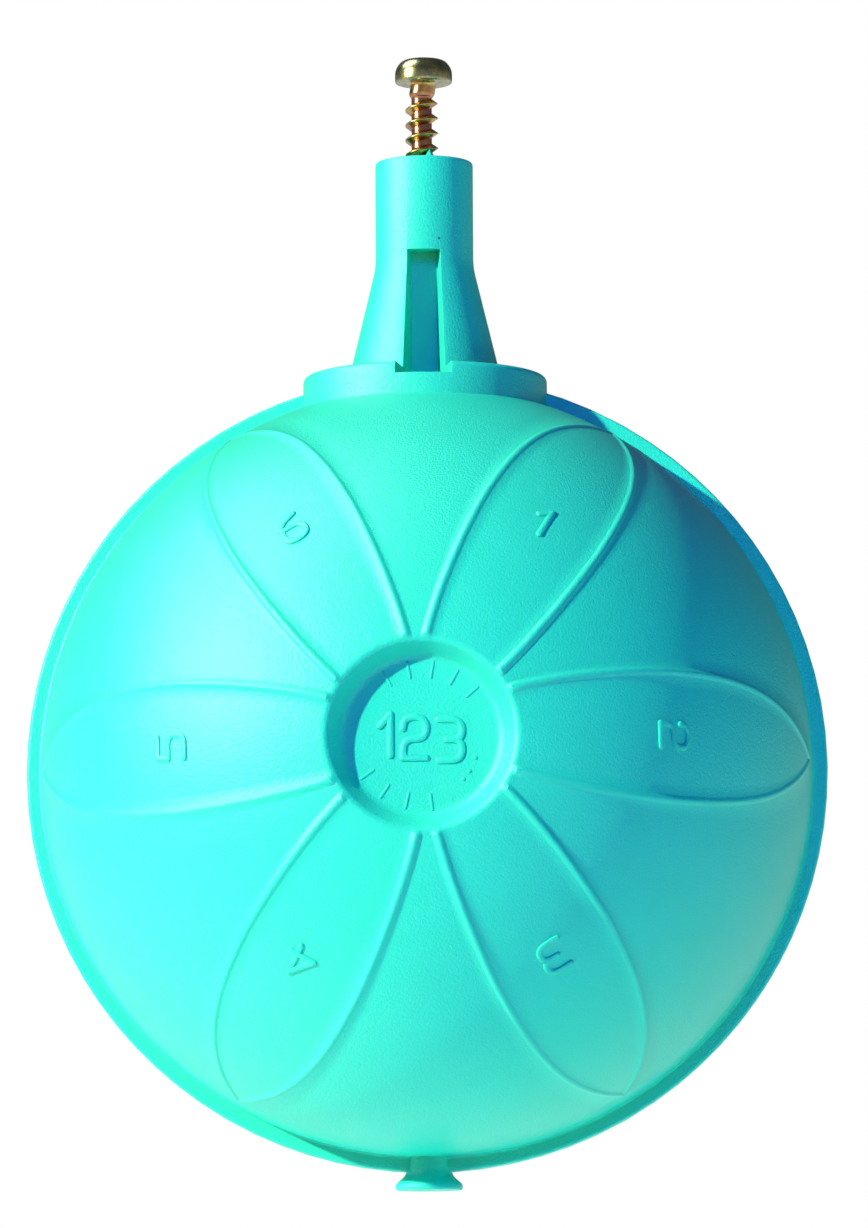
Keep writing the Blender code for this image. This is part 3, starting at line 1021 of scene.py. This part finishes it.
rubs = add_node(
    tree,
    "ShaderNodeTexNoise",
    values={"Scale": 1 / RUB_GRAIN, "Detail": 3, "Roughness": 0.6},
    links={"Vector": place},
)
polish = add_node(
    tree,
    "ShaderNodeMapRange",
    values={"To Min": RUBBED_ROUGHNESS[0], "To Max": RUBBED_ROUGHNESS[1]},
    links={"Value": rubs.outputs["Fac"]},
)
tree.links.new(polish.outputs["Result"], shader.inputs["Roughness"])
dents = add_node(
    tree,
    "ShaderNodeBump",
    values={"Strength": RUB_STRENGTH, "Distance": RUB_DEPTH},
    links={"Height": rubs.outputs["Fac"]},
)
tree.links.new(dents.outputs["Normal"], shader.inputs["Normal"])
shader.inputs["Metallic"].default_value = 1
arm_screw.data.materials.clear()
arm_screw.data.materials.append(zinc)
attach(arm_screw, "root")
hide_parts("arm_screw")


# Studio: a plain pale floor far below, and a pale surround that the gloss shows up to the horizon
# and that dims above it. A hard lamp on the left gives the shadows. Broad bounces come up from
# both sides, a weak blue lamp stands in front, and one behind lights what the camera doesn't see.

FLOOR = -1.2
FLOOR_REACH = 4
SURROUND_LIGHT = 0.62
CEILING_START = 0.0
CEILING_END = 0.22
CEILING_LIGHT = 0.08
# Each lamp: its name, the direction it stands in, strength, spread in degrees and colour
LAMPS = (
    ("key_lamp", (-0.75, -0.55, 0.42), 7.0, 2, "#FFFFE6"),
    ("left_bounce", (-1, 0.25, -1), 4.6, 70, "#BEF6FA"),
    ("right_bounce", (0.9, -0.42, -1), 2.8, 70, "#70E6F8"),
    ("front_fill", (0, -0.92, 0.38), 1.9, 24, "#2068FF"),
    ("back_fill", (0, 1, 0.1), 2.4, 12, "#F4FAFF"),
    ("overhead_glint", (-0.60, 0.0, 0.80), 2.4, 40, "#FFFFFF"),
)
# The overhead lamp and the softbox give the highlights: only they show in the gloss
ONLY_IN_GLOSS = ("overhead_glint",)
KEY_DIRECTION = Vector((-0.84, -0.44, 0.36))
KEY_DISTANCE = 1.5
KEY_SIZE = (0.46, 0.36)
KEY_RADIANCE = 60
KEY_COLOUR = "#FFFFD2"
FLOOR_COLOUR = "#F4F4F4"
FLOOR_ROUGHNESS = 0.8
ROOM_COLOUR = "#0E1E2F"

bm = bmesh.new()
bmesh.ops.create_grid(bm, x_segments=1, y_segments=1, size=FLOOR_REACH)
floor_piece = piece_from("floor", bm, Matrix.Translation((0, 0, FLOOR)))
floor_piece.visible_shadow = False
floor_piece.visible_diffuse = False
floor_paint, tree, shader, place = new_material("floor_paint")
shader.inputs["Base Color"].default_value = linear(FLOOR_COLOUR)
shader.inputs["Roughness"].default_value = FLOOR_ROUGHNESS
floor_piece.data.materials.append(floor_paint)

for name, direction, strength, spread, colour in LAMPS:
    lamp = bpy.data.lights.new(name, "SUN")
    lamp.energy = strength
    lamp.angle = math.radians(spread)
    lamp.color = linear(colour)[:3]
    holder = bpy.data.objects.new(name, lamp)
    holder.rotation_mode = "QUATERNION"
    holder.rotation_quaternion = Vector(direction).to_track_quat("Z", "Y")
    holder.visible_glossy = name in ONLY_IN_GLOSS
    holder.visible_diffuse = name not in ONLY_IN_GLOSS
    bpy.context.scene.collection.objects.link(holder)

key = bpy.data.lights.new("key_softbox", "AREA")
key.shape = "RECTANGLE"
key.size, key.size_y = KEY_SIZE
key.energy = KEY_RADIANCE * math.pi * KEY_SIZE[0] * KEY_SIZE[1]
key.color = linear(KEY_COLOUR)[:3]
holder = bpy.data.objects.new("key_softbox", key)
holder.rotation_mode = "QUATERNION"
holder.rotation_quaternion = KEY_DIRECTION.to_track_quat("Z", "Y")
holder.location = Vector((0, 0, BALL_CENTRE)) + KEY_DIRECTION.normalized() * KEY_DISTANCE
holder.visible_diffuse = False
bpy.context.scene.collection.objects.link(holder)

world = bpy.data.worlds.new("studio")
world.use_nodes = True
bpy.context.scene.world = world
tree = world.node_tree
tree.nodes.clear()
rays = add_node(tree, "ShaderNodeLightPath")
sky = add_node(tree, "ShaderNodeTexCoord")
rise = add_node(tree, "ShaderNodeSeparateXYZ", links={0: sky.outputs["Generated"]})
mirrored = add_node(
    tree,
    "ShaderNodeMapRange",
    values={
        "From Min": CEILING_START,
        "From Max": CEILING_END,
        "To Min": SURROUND_LIGHT,
        "To Max": CEILING_LIGHT,
    },
    links={"Value": rise.outputs["Z"]},
)
glossy = add_node(
    tree,
    "ShaderNodeMath",
    {"operation": "MULTIPLY"},
    links={0: rays.outputs["Is Glossy Ray"], 1: mirrored.outputs["Result"]},
)
seen = add_node(
    tree,
    "ShaderNodeMath",
    {"operation": "MAXIMUM"},
    links={0: rays.outputs["Is Camera Ray"], 1: glossy.outputs[0]},
)
white = add_node(tree, "ShaderNodeBackground", values={"Color": (1, 1, 1, 1), "Strength": 1})
room = add_node(
    tree, "ShaderNodeBackground", values={"Color": linear(ROOM_COLOUR), "Strength": 1}
)
mixed = add_node(
    tree,
    "ShaderNodeMixShader",
    links={0: seen.outputs[0], 1: room.outputs[0], 2: white.outputs[0]},
)
add_node(tree, "ShaderNodeOutputWorld", links={"Surface": mixed.outputs[0]})

# Camera: a long lens that looks up a little from below the float, at the photograph's angle, with
# the ball low in the frame.

CAMERA_DISTANCE = 1.100
CAMERA_TURN = math.radians(0.8)
CAMERA_RISE = math.radians(-5.6)
CAMERA_ROLL = math.radians(0.3)
AIM_RIGHT = 0.0012
AIM_UP = 0.0246
LENS = 207

back = Vector(
    (
        math.sin(CAMERA_TURN) * math.cos(CAMERA_RISE),
        -math.cos(CAMERA_TURN) * math.cos(CAMERA_RISE),
        math.sin(CAMERA_RISE),
    )
)
right = Vector((math.cos(CAMERA_TURN), math.sin(CAMERA_TURN), 0))
up = right.cross(-back)
ball = Vector((0, 0, BALL_CENTRE))
camera = bpy.data.objects.new("camera", bpy.data.cameras.new("camera"))
camera.data.lens = LENS
camera.location = ball + back * CAMERA_DISTANCE
aim = ball + right * AIM_RIGHT + up * AIM_UP
camera.rotation_mode = "QUATERNION"
sight = (aim - camera.location).to_track_quat("-Z", "Y")
camera.rotation_quaternion = sight @ Quaternion((0, 0, 1), -CAMERA_ROLL)
bpy.context.scene.collection.objects.link(camera)
bpy.context.scene.camera = camera
bpy.context.scene.view_settings.view_transform = "Standard"
